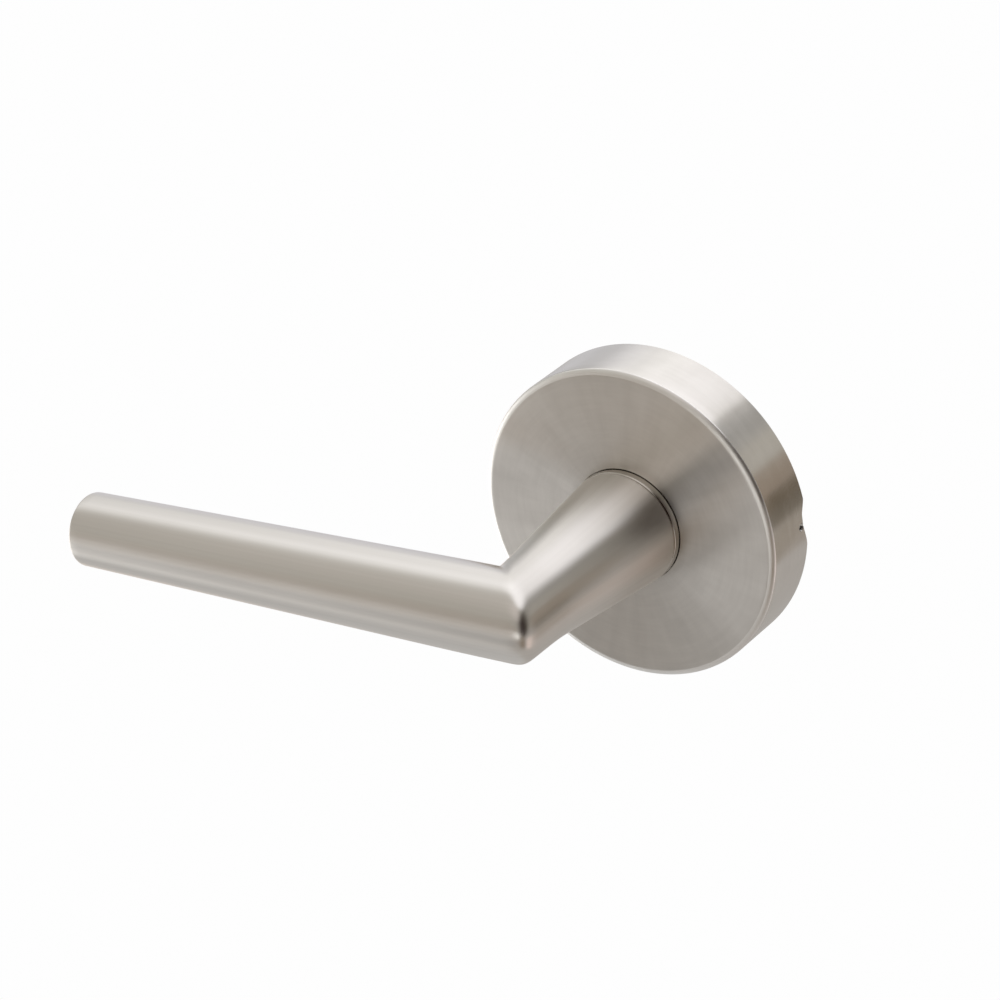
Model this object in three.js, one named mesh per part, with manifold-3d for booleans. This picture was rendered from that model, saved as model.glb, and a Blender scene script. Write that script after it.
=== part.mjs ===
// Door lever handle on a round sprung rose, as it comes apart on a bench.
//
// Units are millimetres and +Z is up. The door's face is the plane y = 0 and the handle stands out of it
// towards -Y. The spin axis is the Y axis, and the lever points along -X. Depths below are distances in
// front of the door's face, so a depth is -y, and a negative depth is inside the door. Angles are in
// degrees about the spin axis, from +X towards +Z, so pressing the lever down adds to its angle.

import * as THREE from 'three';
import { mergeVertices } from 'three/addons/utils/BufferGeometryUtils.js';
import Module from 'manifold-3d';

const wasm = await Module();
wasm.setup();

// ---------------------------------------------------------------- driving dimensions

const GAP = 0.3; // between neighbouring pieces
const THIN_GAP = 0.2; // between faces that bear on each other

const ROSE_RADIUS = 33;
const ROSE_DEPTH = 13.3;
const ROSE_WALL = 1;
const ROSE_EDGE = 0.9; // radius of the front edge
const NOTCH_RADIUS = 2.55; // half-round pry notch in the rear rim
const NOTCH_ANGLE = 1.5;

const COLLAR_RADIUS = 12.25;
const COLLAR_FLANGE_RADIUS = 13.6;
const COLLAR_BORE = 10.6;
const COLLAR_FLANGE_BACK = 9.8;
const COLLAR_FRONT = 15.3;

const NECK_BACK = 16.1; // depth of the neck's rear face
const NECK_BASE_RADIUS = 11.9;
const NECK_TAPER_END = 48;
const NECK_SOCKET_END = 34;
const LEVER_DEPTH = 54.8; // door face to the grip's axis
const LEVER_REACH = 102.2; // spin axis to the tip
const CORNER_RADIUS = 8.8; // of the neck and of the grip where they meet
const TIP_RADIUS = 7.6;
const TIP_EDGE = 0.6;
const LEVER_WALL = 1.45;
const GRIP_STRAIGHT = 9; // the grip tapers from here to the tip
const CAP_THICKNESS = 2.4;
const MITRE_GAP = 0.4; // measured along the spin axis

const HUB_RADIUS = 8.7;
const HUB_BACK = -3.6;
const HUB_FRONT = 33.5;
const HUB_FLAT = 7.4; // half the width across the hub's flats
const HUB_FLAT_END = 4.5;
const CLIP_GROOVE_RADIUS = 7.7;
const SPINDLE_SIDE = 8;
const SPINDLE_FRONT = 30;
const SPINDLE_BACK = -30;
const GRUB_RADIUS = 2.5;
const GRUB_DEPTH = 25; // where along the neck the grub screw sits
const GRUB_OUTER_END = 10.8;

const PLATE_RADIUS = 31.4;
const PLATE_THICKNESS = 2;
const SCREW_OFFSET = 19; // 38 mm between the two fixing screws
const SCREW_RADIUS = 2;
const SCREW_TIP = -15.5;
const PIP_RADIUS = 4.2;
const PIP_LENGTH = 7;

const HOUSING_RADIUS = 14.2;
const HOUSING_WALL = 1;
const HOUSING_BACK = 2.2;
const HOUSING_FRONT = 9.5;
const HOUSING_EAR_THICKNESS = 0.8;
const HOUSING_EAR_HALF_WIDTH = 3.6;
const HOUSING_RIVET_OFFSET = 17.6;
const RIVET_RADIUS = 1.4;

const PIN_RADIUS = 0.9;
const PIN_CIRCLE = 12; // the stop pins and the anchor pin stand on this circle
const TURN_LIMIT = 45; // how far the lever turns down
const CAM_BACK = 2.3;
const CAM_FRONT = 4.3;
const CAM_RADIUS = 10.4;
const LUG_RADIUS = 12.9;
const LUG_ANGLE = 90; // the cam's lug points up at rest
const LUG_HALF_WIDTH = 14;

const WIRE_RADIUS = 0.6;
const COIL_RADIUS = 10;
const COIL_BACK = 5.2;
const COIL_FRONT = 7.6;
const LEG_RISE = 2.2; // how far each leg of the spring turns out from the coil
const LEG_SWEEP = 8; // the turn over which a leg leaves the coil
const ANCHOR_ANGLE = 300;
const LEG_OFFSET = 15; // from the end of a leg to the pin or post it bears on

const FINE = 72;
const MEDIUM = 48;
const COARSE = 20;

// ---------------------------------------------------------------- finishes

const finish = (color, roughness, metalness) => new THREE.MeshStandardMaterial({ color, roughness, metalness });

const satinNickel = () => finish(0xb5aea5, 0.34, 1);
const brightNickel = () => finish(0xc8c4bd, 0.2, 1);
const zincPlate = () => finish(0xa9adb0, 0.42, 1);
const springSteel = () => finish(0x8c8d90, 0.35, 1);
const blackSteel = () => finish(0x2b2a29, 0.5, 0.8);
const darkNylon = () => finish(0x1f1f20, 0.55, 0);

// ---------------------------------------------------------------- geometry helpers

const radians = THREE.MathUtils.degToRad;

// A point on a circle about the spin axis.
function onCircle(radius, angle) {
  return { x: radius * Math.cos(radians(angle)), z: radius * Math.sin(radians(angle)) };
}

function signedVolume(positions, index) {
  const [a, b, c] = [new THREE.Vector3(), new THREE.Vector3(), new THREE.Vector3()];
  let volume = 0;
  for (let i = 0; i < index.length; i += 3) {
    a.fromBufferAttribute(positions, index[i]);
    b.fromBufferAttribute(positions, index[i + 1]);
    c.fromBufferAttribute(positions, index[i + 2]);
    volume += a.dot(b.cross(c)) / 6;
  }
  return volume;
}

// One closed mesh with shared corners, no collapsed triangles and its faces outward.
function sealed(geometry) {
  geometry.deleteAttribute('normal');
  geometry.deleteAttribute('uv');
  const merged = mergeVertices(geometry);
  const kept = [];
  const corners = merged.index.array;
  for (let i = 0; i < corners.length; i += 3) {
    const [a, b, c] = [corners[i], corners[i + 1], corners[i + 2]];
    if (a !== b && b !== c && c !== a) kept.push(a, b, c);
  }
  if (signedVolume(merged.attributes.position, kept) < 0) kept.reverse();
  merged.setIndex(kept);
  return merged;
}

function toSolid(geometry) {
  const vertProperties = Float32Array.from(geometry.attributes.position.array);
  const triVerts = Uint32Array.from(geometry.index.array);
  return new wasm.Manifold(new wasm.Mesh({ numProp: 3, vertProperties, triVerts }));
}

function fromSolid(solid) {
  const mesh = solid.getMesh();
  const geometry = new THREE.BufferGeometry();
  geometry.setAttribute('position', new THREE.BufferAttribute(Float32Array.from(mesh.vertProperties), 3));
  geometry.setIndex(Array.from(mesh.triVerts));
  return geometry;
}

function cut(geometry, ...tools) {
  return fromSolid(tools.reduce((solid, tool) => solid.subtract(toSolid(tool)), toSolid(geometry)));
}

function join(geometry, ...others) {
  return fromSolid(others.reduce((solid, other) => solid.add(toSolid(other)), toSolid(geometry)));
}

// Points of an arc in a profile, from one angle to another.
function arc(centreRadius, centreDepth, radius, from, to, steps = 4) {
  return Array.from({ length: steps + 1 }, (_, i) => {
    const angle = radians(from + ((to - from) * i) / steps);
    return [centreRadius + radius * Math.cos(angle), centreDepth + radius * Math.sin(angle)];
  });
}

// A piece turned about the spin axis, from a profile of [radius, depth] points. A profile that doesn't
// begin on the axis closes on itself.
function turned(profile, segments = MEDIUM) {
  const outline = profile.map(([radius, depth]) => new THREE.Vector2(radius, -depth));
  if (profile[0][0] > 0) outline.push(outline[0].clone());
  return sealed(new THREE.LatheGeometry(outline, segments));
}

// A flat piece cut from sheet, its shape drawn in X and Z.
function sheet(shape, back, front, curveSegments = 12) {
  const depth = front - back;
  const geometry = sealed(new THREE.ExtrudeGeometry(shape, { depth, bevelEnabled: false, curveSegments }));
  return geometry.rotateX(Math.PI / 2).translate(0, -back, 0);
}

// A round bar along the spin direction, at x and z.
function bar(radius, back, front, { x = 0, z = 0 } = {}, segments = COARSE) {
  const geometry = sealed(new THREE.CylinderGeometry(radius, radius, front - back, segments));
  return geometry.translate(x, -(back + front) / 2, z);
}

function box(sizeX, sizeDepth, sizeZ, x, depth, z) {
  return sealed(new THREE.BoxGeometry(sizeX, sizeDepth, sizeZ)).translate(x, -depth, z);
}

// A round bar pointing down from the spin axis, for the grub screw and its holes.
function downwardBar(radius, top, bottom, depth, segments = COARSE) {
  const geometry = sealed(new THREE.CylinderGeometry(radius, radius, bottom - top, segments));
  return geometry.rotateX(Math.PI / 2).translate(0, -depth, -(top + bottom) / 2);
}

const spun = (geometry, angle) => geometry.rotateY(-radians(angle));

// ---------------------------------------------------------------- the fixed rose

function roseCover() {
  const face = ROSE_DEPTH;
  const inside = ROSE_RADIUS - ROSE_WALL;
  const hole = COLLAR_RADIUS + GAP;
  const cup = turned(
    [
      [ROSE_RADIUS, 0],
      ...arc(ROSE_RADIUS - ROSE_EDGE, face - ROSE_EDGE, ROSE_EDGE, 0, 90),
      [hole, face],
      [hole, face - ROSE_WALL],
      [inside - ROSE_EDGE, face - ROSE_WALL],
      [inside, face - ROSE_WALL - ROSE_EDGE],
      [inside, 0],
    ],
    FINE,
  );
  const notch = sealed(new THREE.CylinderGeometry(NOTCH_RADIUS, NOTCH_RADIUS, 4, COARSE));
  notch.rotateZ(Math.PI / 2).translate(ROSE_RADIUS, 0, 0);
  return cut(cup, spun(notch, NOTCH_ANGLE));
}

function mountingPlate() {
  const screws = [-SCREW_OFFSET, SCREW_OFFSET].map((x) => ({ x, z: 0 }));
  const disc = turned([[0, 0], [PLATE_RADIUS, 0], [PLATE_RADIUS, PLATE_THICKNESS], [0, PLATE_THICKNESS]], FINE);
  const pips = screws.map((place) => bar(PIP_RADIUS, -PIP_LENGTH, PLATE_THICKNESS / 2, place));
  const rivets = [-HOUSING_RIVET_OFFSET, HOUSING_RIVET_OFFSET].map((z) => ({ x: 0, z }));
  const pins = pinAngles().map((angle) => onCircle(PIN_CIRCLE, angle));
  const holes = [
    bar(HUB_RADIUS + GAP, -1, 3, {}, MEDIUM),
    ...screws.map((place) => bar(SCREW_RADIUS + GAP, -PIP_LENGTH - 1, 3, place)),
    ...rivets.map((place) => bar(RIVET_RADIUS + GAP, -1, 3, place)),
    ...pins.map((place) => bar(PIN_RADIUS + THIN_GAP, -1, 3, place)),
  ];
  const rimSlot = box(4, 4, 2 * NOTCH_RADIUS + 1, PLATE_RADIUS, PLATE_THICKNESS / 2, 0);
  return cut(join(disc, ...pips), ...holes, spun(rimSlot, NOTCH_ANGLE));
}

function springHousing() {
  const inside = HOUSING_RADIUS - HOUSING_WALL;
  const roof = HOUSING_FRONT - HOUSING_WALL;
  const hole = HUB_RADIUS + 2 * GAP;
  const cup = turned([
    [HOUSING_RADIUS, HOUSING_BACK],
    ...arc(HOUSING_RADIUS - 1, HOUSING_FRONT - 1, 1, 0, 90),
    [hole, HOUSING_FRONT],
    [hole, roof],
    [inside, roof],
    [inside, HOUSING_BACK],
  ]);
  const width = HOUSING_EAR_HALF_WIDTH;
  const ears = [1, -1].map((side) => {
    const outline = new THREE.Shape();
    outline.moveTo(-width, side * (inside + HOUSING_WALL / 2));
    outline.lineTo(-width, side * HOUSING_RIVET_OFFSET);
    outline.absarc(0, side * HOUSING_RIVET_OFFSET, width, Math.PI, 0, side > 0);
    outline.lineTo(width, side * (inside + HOUSING_WALL / 2));
    const ear = sheet(outline, HOUSING_BACK, HOUSING_BACK + HOUSING_EAR_THICKNESS, 6);
    const place = { x: 0, z: side * HOUSING_RIVET_OFFSET };
    return cut(ear, bar(RIVET_RADIUS + GAP, HOUSING_BACK - 1, HOUSING_BACK + 2, place));
  });
  return join(cup, ...ears);
}

function housingRivet(side) {
  const seat = HOUSING_BACK + HOUSING_EAR_THICKNESS + THIN_GAP;
  const head = [[2.6, seat], [2.6, seat + 0.4], [1.8, seat + 1.1], [0, seat + 1.3]];
  const rivet = turned([[0, THIN_GAP], [RIVET_RADIUS, THIN_GAP], [RIVET_RADIUS, seat], ...head], COARSE);
  return rivet.translate(0, 0, side * HOUSING_RIVET_OFFSET);
}

// The rest stop, the turned stop and the spring's anchor.
function pinAngles() {
  const reach = LUG_HALF_WIDTH + THREE.MathUtils.radToDeg((PIN_RADIUS + GAP) / PIN_CIRCLE);
  return [LUG_ANGLE - reach, LUG_ANGLE + TURN_LIMIT + reach, ANCHOR_ANGLE];
}

function pin(angle, front) {
  const tip = [[PIN_RADIUS, front - 0.3], [PIN_RADIUS - 0.3, front], [0, front]];
  const { x, z } = onCircle(PIN_CIRCLE, angle);
  return turned([[0, THIN_GAP], [PIN_RADIUS, THIN_GAP], ...tip], COARSE).translate(x, 0, z);
}

class SpringPath extends THREE.Curve {
  getPoint(t, target = new THREE.Vector3()) {
    const start = LUG_ANGLE + LEG_OFFSET;
    const sweep = ANCHOR_ANGLE - LEG_OFFSET - 720 - start;
    const fromEnd = Math.min(t, 1 - t) * Math.abs(sweep);
    const rise = LEG_RISE * (1 - THREE.MathUtils.smoothstep(fromEnd, 0, LEG_SWEEP));
    const { x, z } = onCircle(COIL_RADIUS + rise, start + t * sweep);
    return target.set(x, -THREE.MathUtils.lerp(COIL_BACK, COIL_FRONT, t), z);
  }
}

// The torsion spring: its rear leg bears on the cam's post, its front leg on the anchor pin.
function returnSpring() {
  const section = new THREE.Shape().absarc(0, 0, WIRE_RADIUS, 0, 2 * Math.PI);
  const options = { steps: 110, curveSegments: 4, bevelEnabled: false, extrudePath: new SpringPath() };
  return sealed(new THREE.ExtrudeGeometry(section, options));
}

// A bent spring strip whose bulge grips the inside of the rose cover.
function coverClip(angle) {
  const foot = PLATE_THICKNESS + THIN_GAP;
  const thickness = 0.7;
  const halfWidth = 3.5;
  const strip = [
    [24, foot],
    [30.8, foot],
    [30.8, foot + 3],
    [31.7, foot + 5],
    [30.6, foot + 7.3],
    [30.6 - thickness, foot + 7.3],
    [31.7 - thickness, foot + 5],
    [30.8 - thickness, foot + 3],
    [30.8 - thickness, foot + thickness],
    [24, foot + thickness],
  ];
  const outline = new THREE.Shape(strip.map(([radius, depth]) => new THREE.Vector2(radius, -depth)));
  const clip = sealed(new THREE.ExtrudeGeometry(outline, { depth: 2 * halfWidth, bevelEnabled: false }));
  return spun(clip.translate(0, 0, -halfWidth), angle);
}

function collarRing() {
  return turned(
    [
      [COLLAR_FLANGE_RADIUS, COLLAR_FLANGE_BACK],
      [COLLAR_FLANGE_RADIUS, ROSE_DEPTH - ROSE_WALL - GAP],
      [COLLAR_RADIUS, ROSE_DEPTH - ROSE_WALL - GAP],
      [COLLAR_RADIUS, COLLAR_FRONT - GAP],
      [COLLAR_RADIUS - GAP, COLLAR_FRONT],
      [COLLAR_BORE, COLLAR_FRONT],
      [COLLAR_BORE, COLLAR_FLANGE_BACK],
    ],
    FINE,
  );
}

// The nylon bearing of the lever. Its lip keeps the neck off the collar.
function neckBush() {
  const bore = HUB_RADIUS + GAP;
  const lip = COLLAR_RADIUS - 0.85;
  return turned([
    [COLLAR_BORE - GAP, COLLAR_FLANGE_BACK],
    [COLLAR_BORE - GAP, COLLAR_FRONT + THIN_GAP],
    [lip, COLLAR_FRONT + THIN_GAP],
    [lip, NECK_BACK - THIN_GAP],
    [bore, NECK_BACK - THIN_GAP],
    [bore, COLLAR_FLANGE_BACK],
  ]);
}

function fixingScrew(side) {
  const seat = PLATE_THICKNESS + THIN_GAP;
  const top = seat + 2.5;
  const screw = turned(
    [
      [0, SCREW_TIP],
      [SCREW_RADIUS - 0.5, SCREW_TIP],
      [SCREW_RADIUS, SCREW_TIP + 0.5],
      [SCREW_RADIUS, seat],
      [3.8, seat],
      [3.8, seat + 1.2],
      [3, top - 0.3],
      [0, top],
    ],
    COARSE,
  );
  const recess = [box(3.8, 2.6, 0.9, 0, top, 0), box(0.9, 2.6, 3.8, 0, top, 0)];
  return cut(screw, ...recess).translate(side * SCREW_OFFSET, 0, 0);
}

// The wavy spring washer between the plate and the circlip, which takes up the end play.
function waveWasher() {
  const [inner, outer, middle, half, wave] = [9.1, 11.2, -0.75, 0.17, 0.22];
  const front = middle + half;
  const back = middle - half;
  const ring = turned([[outer, back], [outer, front], [inner, front], [inner, back]]);
  const positions = ring.attributes.position;
  for (let i = 0; i < positions.count; i += 1) {
    const around = Math.atan2(positions.getZ(i), positions.getX(i));
    positions.setY(i, positions.getY(i) + wave * Math.sin(3 * around));
  }
  return ring;
}

// ---------------------------------------------------------------- the turning lever

// A large block whose face is the mitre plane, filling the grip's side of it (+1) or the neck's (-1).
function mitreBlock(side) {
  const size = 260;
  const block = sealed(new THREE.BoxGeometry(size, size, size)).rotateZ(Math.PI / 4);
  const shift = -side * (size / 2) * Math.SQRT1_2;
  return block.translate(shift, shift - LEVER_DEPTH + (side * MITRE_GAP) / 2, 0);
}

function leverNeck() {
  const end = LEVER_DEPTH + CORNER_RADIUS + 2;
  const bore = CORNER_RADIUS - LEVER_WALL;
  const socket = HUB_RADIUS + GAP;
  const cone = turned(
    [
      ...arc(NECK_BASE_RADIUS - 0.4, NECK_BACK + 0.4, 0.4, -90, 0, 3),
      [CORNER_RADIUS, NECK_TAPER_END],
      [CORNER_RADIUS, end],
      [bore, end],
      [bore, NECK_SOCKET_END],
      [socket, NECK_SOCKET_END],
      [socket, NECK_BACK],
    ],
    MEDIUM,
  );
  const grubHole = downwardBar(GRUB_RADIUS + GAP, 2, 16, GRUB_DEPTH);
  return cut(cone, mitreBlock(1), grubHole);
}

// A profile of [radius, distance from the spin axis], turned about the grip's axis.
function turnedAlongGrip(profile) {
  const outline = profile.map(([radius, along]) => new THREE.Vector2(radius, along));
  if (profile[0][0] > 0) outline.push(outline[0].clone());
  const geometry = sealed(new THREE.LatheGeometry(outline, MEDIUM));
  return geometry.rotateZ(Math.PI / 2).translate(0, -LEVER_DEPTH, 0);
}

function leverGrip() {
  const start = -CORNER_RADIUS - 2;
  const tube = turnedAlongGrip([
    [CORNER_RADIUS, start],
    [CORNER_RADIUS, GRIP_STRAIGHT],
    ...arc(TIP_RADIUS - TIP_EDGE, LEVER_REACH - TIP_EDGE, TIP_EDGE, 0, 90, 3),
    [TIP_RADIUS - LEVER_WALL, LEVER_REACH],
    [CORNER_RADIUS - LEVER_WALL, GRIP_STRAIGHT],
    [CORNER_RADIUS - LEVER_WALL, start],
  ]);
  return cut(tube, mitreBlock(-1));
}

function gripEndCap() {
  const radius = TIP_RADIUS - LEVER_WALL - GAP;
  return turnedAlongGrip([
    [0, LEVER_REACH - CAP_THICKNESS],
    [radius, LEVER_REACH - CAP_THICKNESS],
    [radius, LEVER_REACH - THIN_GAP],
    [radius - THIN_GAP, LEVER_REACH],
    [0, LEVER_REACH],
  ]);
}

// The sleeve pressed into the neck: it turns in the bush, carries the cam and holds the spindle.
function leverHub() {
  const edge = 0.4;
  const sleeve = turned([
    [0, HUB_BACK],
    [HUB_RADIUS - edge, HUB_BACK],
    [HUB_RADIUS, HUB_BACK + edge],
    [HUB_RADIUS, -2.6],
    [CLIP_GROOVE_RADIUS, -2.6],
    [CLIP_GROOVE_RADIUS, -1.2],
    [HUB_RADIUS, -1.2],
    [HUB_RADIUS, HUB_FRONT - edge],
    [HUB_RADIUS - edge, HUB_FRONT],
    [0, HUB_FRONT],
  ]);
  const socketSide = SPINDLE_SIDE + 2 * GAP;
  const socket = box(socketSide, 60, socketSide, 0, 15, 0);
  const flats = [1, -1].map((side) => box(20, 10, 4, 0, HUB_FLAT_END - 5, side * (HUB_FLAT + 2)));
  const grubHole = downwardBar(GRUB_RADIUS + GAP, 2, 12, GRUB_DEPTH);
  return cut(sleeve, socket, ...flats, grubHole);
}

function grubScrew() {
  const inner = SPINDLE_SIDE / 2 + GAP;
  const screw = downwardBar(GRUB_RADIUS, inner, GRUB_OUTER_END, GRUB_DEPTH);
  const hexagon = downwardBar(1.45, GRUB_OUTER_END - 2.5, GRUB_OUTER_END + 1, GRUB_DEPTH, 6);
  return cut(screw, hexagon);
}

function spindle() {
  const half = SPINDLE_SIDE / 2;
  const chamfer = 0.6;
  const square = new THREE.Shape([
    new THREE.Vector2(-half, -half),
    new THREE.Vector2(half, -half),
    new THREE.Vector2(half, half),
    new THREE.Vector2(-half, half),
  ]);
  const geometry = sealed(
    new THREE.ExtrudeGeometry(square, {
      depth: SPINDLE_FRONT - SPINDLE_BACK - 2 * chamfer,
      bevelThickness: chamfer,
      bevelSize: chamfer,
      bevelOffset: -chamfer,
      bevelSegments: 1,
    }),
  );
  return geometry.rotateX(Math.PI / 2).translate(0, -SPINDLE_BACK - chamfer, 0);
}

// The plate that turns with the hub between the two stops, with the post that the spring pushes.
function stopCam() {
  const outline = new THREE.Shape();
  const lugFrom = radians(LUG_ANGLE - LUG_HALF_WIDTH);
  const lugTo = radians(LUG_ANGLE + LUG_HALF_WIDTH);
  outline.absarc(0, 0, CAM_RADIUS, lugTo, lugFrom + 2 * Math.PI);
  outline.absarc(0, 0, LUG_RADIUS, lugFrom, lugTo);
  const bore = HUB_RADIUS + GAP;
  const corner = Math.asin((HUB_FLAT + GAP) / bore);
  const keyed = new THREE.Path();
  keyed.absarc(0, 0, bore, -corner, corner);
  keyed.absarc(0, 0, bore, Math.PI - corner, Math.PI + corner);
  outline.holes.push(keyed);
  const post = bar(PIN_RADIUS, CAM_FRONT - 1, COIL_BACK + WIRE_RADIUS + THIN_GAP, onCircle(11.9, LUG_ANGLE));
  return join(sheet(outline, CAM_BACK, CAM_FRONT, 20), post);
}

function circlip() {
  const opening = radians(20);
  const down = 1.5 * Math.PI;
  const outline = new THREE.Shape();
  outline.absarc(0, 0, 10.4, down + opening - 2 * Math.PI, down - opening);
  outline.absarc(0, 0, CLIP_GROOVE_RADIUS + GAP, down - opening, down + opening - 2 * Math.PI, true);
  return sheet(outline, -2.4, -1.4, 20);
}

// ---------------------------------------------------------------- assembly

function piece(name, geometry, material) {
  const mesh = new THREE.Mesh(geometry, material);
  mesh.name = name;
  return mesh;
}

const [restAngle, turnedAngle, anchorAngle] = pinAngles();

const rose = new THREE.Group();
rose.add(
  piece('rose_cover', roseCover(), satinNickel()),
  piece('mounting_plate', mountingPlate(), zincPlate()),
  piece('spring_housing', springHousing(), zincPlate()),
  piece('housing_rivet_top', housingRivet(1), zincPlate()),
  piece('housing_rivet_bottom', housingRivet(-1), zincPlate()),
  piece('rest_stop_pin', pin(restAngle, 5.2), springSteel()),
  piece('turned_stop_pin', pin(turnedAngle, 5.2), springSteel()),
  piece('spring_anchor_pin', pin(anchorAngle, 8.2), springSteel()),
  piece('return_spring', returnSpring(), springSteel()),
  piece('cover_clip_top', coverClip(90), springSteel()),
  piece('cover_clip_left', coverClip(210), springSteel()),
  piece('cover_clip_right', coverClip(330), springSteel()),
  piece('collar_ring', collarRing(), brightNickel()),
  piece('neck_bush', neckBush(), darkNylon()),
  piece('fixing_screw_left', fixingScrew(-1), zincPlate()),
  piece('fixing_screw_right', fixingScrew(1), zincPlate()),
  piece('wave_washer', waveWasher(), springSteel()),
);

const lever = new THREE.Group();
lever.add(
  piece('lever_neck', leverNeck(), satinNickel()),
  piece('lever_grip', leverGrip(), satinNickel()),
  piece('grip_end_cap', gripEndCap(), satinNickel()),
  piece('lever_hub', leverHub(), zincPlate()),
  piece('grub_screw', grubScrew(), blackSteel()),
  piece('spindle', spindle(), zincPlate()),
  piece('stop_cam', stopCam(), zincPlate()),
  piece('circlip', circlip(), springSteel()),
);

const handle = new THREE.Group();
handle.add(rose, lever);

export default handle;
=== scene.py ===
"""Looks of the door lever handle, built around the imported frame.

Sizes are in millimetres until mesh_from() turns them into metres. As in the CAD, the door's face is the
plane y = 0, a depth is a distance in front of it (-Y), and angles run about the Y axis from +X to +Z.
"""

import math

import bmesh
import bpy
from mathutils import Matrix, Vector


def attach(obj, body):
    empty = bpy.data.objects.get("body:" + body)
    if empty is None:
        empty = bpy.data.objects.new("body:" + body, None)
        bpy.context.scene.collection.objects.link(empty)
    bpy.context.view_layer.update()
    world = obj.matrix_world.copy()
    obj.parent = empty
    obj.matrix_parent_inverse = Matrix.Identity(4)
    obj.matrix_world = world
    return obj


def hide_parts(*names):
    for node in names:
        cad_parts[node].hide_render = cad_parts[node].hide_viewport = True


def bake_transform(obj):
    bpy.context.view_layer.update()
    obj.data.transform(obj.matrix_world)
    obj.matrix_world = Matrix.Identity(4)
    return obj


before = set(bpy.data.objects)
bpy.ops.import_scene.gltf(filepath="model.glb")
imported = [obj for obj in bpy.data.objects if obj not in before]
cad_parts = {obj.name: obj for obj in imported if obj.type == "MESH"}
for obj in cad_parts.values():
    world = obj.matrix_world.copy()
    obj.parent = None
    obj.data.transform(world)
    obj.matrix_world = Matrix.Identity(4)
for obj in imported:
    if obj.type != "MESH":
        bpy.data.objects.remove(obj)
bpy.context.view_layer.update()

MM = 0.001
ROUND = 256  # segments round a large turned piece
SMALL_ROUND = 96
SHARP = math.radians(32)  # edges that turn by more than this stay crisp

# The rose.
ROSE_RADIUS = 33
ROSE_DEPTH = 13.3
ROSE_WALL = 0.8
ROSE_EDGE = 0.9  # the front edge rolls over this far in depth
ROSE_ROLL = 1.6  # and this far in radius
ROSE_HOLE = 12.06
NOTCH_DEPTH = 1.7  # the notch in the back edge, for prising the cover off
NOTCH_ABOVE = 4.6  # how far it flares above and below its deepest point
NOTCH_BELOW = 7.4
NOTCH_ANGLE = 3.2
PRY_HOLE = 0.85  # radius of the hole in front of the notch
PRY_HOLE_DEPTH = 2.35
PRY_HOLE_ANGLE = 0.6
ROSE_ROLL_START = ROSE_RADIUS - ROSE_ROLL
COLLAR_RADIUS = 12.02
COLLAR_BORE = 10.6
COLLAR_BACK = 9.8  # the bush ends here too
COLLAR_FRONT = 15.1
FLANGE_RADIUS = 13.6  # the collar's flange, behind the cover
FLANGE_FRONT = 12
BUSH_LIP_RADIUS = 11.35
BUSH_LIP_BACK = 15.4
BUSH_FRONT = 15.9
PLATE_RADIUS = 32.1
PLATE_THICKNESS = 2
PIN_CIRCLE = 12  # radius of the circle on which the stop and anchor pins stand
RIVET_OFFSET = 17.6
SCREW_OFFSET = 19
SCREW_TIP = -15.5
SPRING_BACK = 5.2
SPRING_FRONT = 7.6

# The lever.
NECK_BACK = 15.35
NECK_BASE_RADIUS = 11.97
NECK_SKIRT = 11.5  # inside of the skirt that covers the bush
NECK_TAPER_END = 48
NECK_SOCKET_END = 34
LEVER_DEPTH = 54.8
LEVER_REACH = 102.2
CORNER_RADIUS = 8.8
TIP_RADIUS = 7.6
TIP_EDGE = 0.6
LEVER_WALL = 1.45
GRIP_STRAIGHT = 9
OUTER_BEND = 5  # how far the mitre's rounding reaches on the outside of the corner
INNER_BEND = 0.5  # and on the inside
BEND_HOLD = 0.85  # how tightly it is rounded: 0.55 is an arc, and more keeps the curve for the middle
HUB_RADIUS = 8.7
HUB_BACK = -3.6
HUB_FRONT = 33.5
HUB_PLAY = 0.3  # clearance round the hub
GRUB_DEPTH = 25
GRUB_HOLE = 2.8

# Colours.
NICKEL = (0.71, 0.68, 0.64)
PAPER_WHITE = (0.99, 0.99, 0.99, 1)

# The floor lies far enough below the handle that no shadow reaches it.
FLOOR_RADII = (500, 1500, 4000)
FLOOR_HEIGHT = -420

# The camera stands to the right of the handle and above it. These values were fitted by a separate program to
# outlines measured in the reference.
CAMERA_AZIMUTH = 36.14
CAMERA_ELEVATION = 25.14
CAMERA_ROLL = -6.55
CAMERA_DISTANCE = 755.1
CAMERA_LENS = 136.8
AIM_RIGHT = -32.24  # where the optical axis passes the rose's centre, in the picture's plane
AIM_UP = -0.52


# ---------------------------------------------------------------- mesh helpers


def mesh_from(name, points, faces):
    """A new object from points in millimetres, with doubled points merged and its faces outward."""
    mesh = bpy.data.meshes.new(name)
    mesh.from_pydata([tuple(c * MM for c in point) for point in points], [], faces)
    work = bmesh.new()
    work.from_mesh(mesh)
    bmesh.ops.remove_doubles(work, verts=work.verts, dist=1e-7)
    bmesh.ops.recalc_face_normals(work, faces=work.faces)
    work.to_mesh(mesh)
    work.free()
    made = bpy.data.objects.new(name, mesh)
    bpy.context.scene.collection.objects.link(made)
    return made


def smooth(made, angle=SHARP):
    made.data.polygons.foreach_set("use_smooth", [True] * len(made.data.polygons))
    made.data.set_sharp_from_angle(angle=angle)
    return made


def skin(name, rings, loop=False):
    """A surface through rings that all have the same number of points."""
    count = len(rings[0])
    points = [point for ring in rings for point in ring]
    faces = []
    for i in range(len(rings) if loop else len(rings) - 1):
        a, b = i * count, (i + 1) % len(rings) * count
        for j in range(count):
            k = (j + 1) % count
            faces.append((a + j, a + k, b + k, b + j))
    return mesh_from(name, points, faces)


def on_circle(radius, degrees, depth):
    angle = math.radians(degrees)
    return (radius * math.cos(angle), -depth, radius * math.sin(angle))


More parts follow.
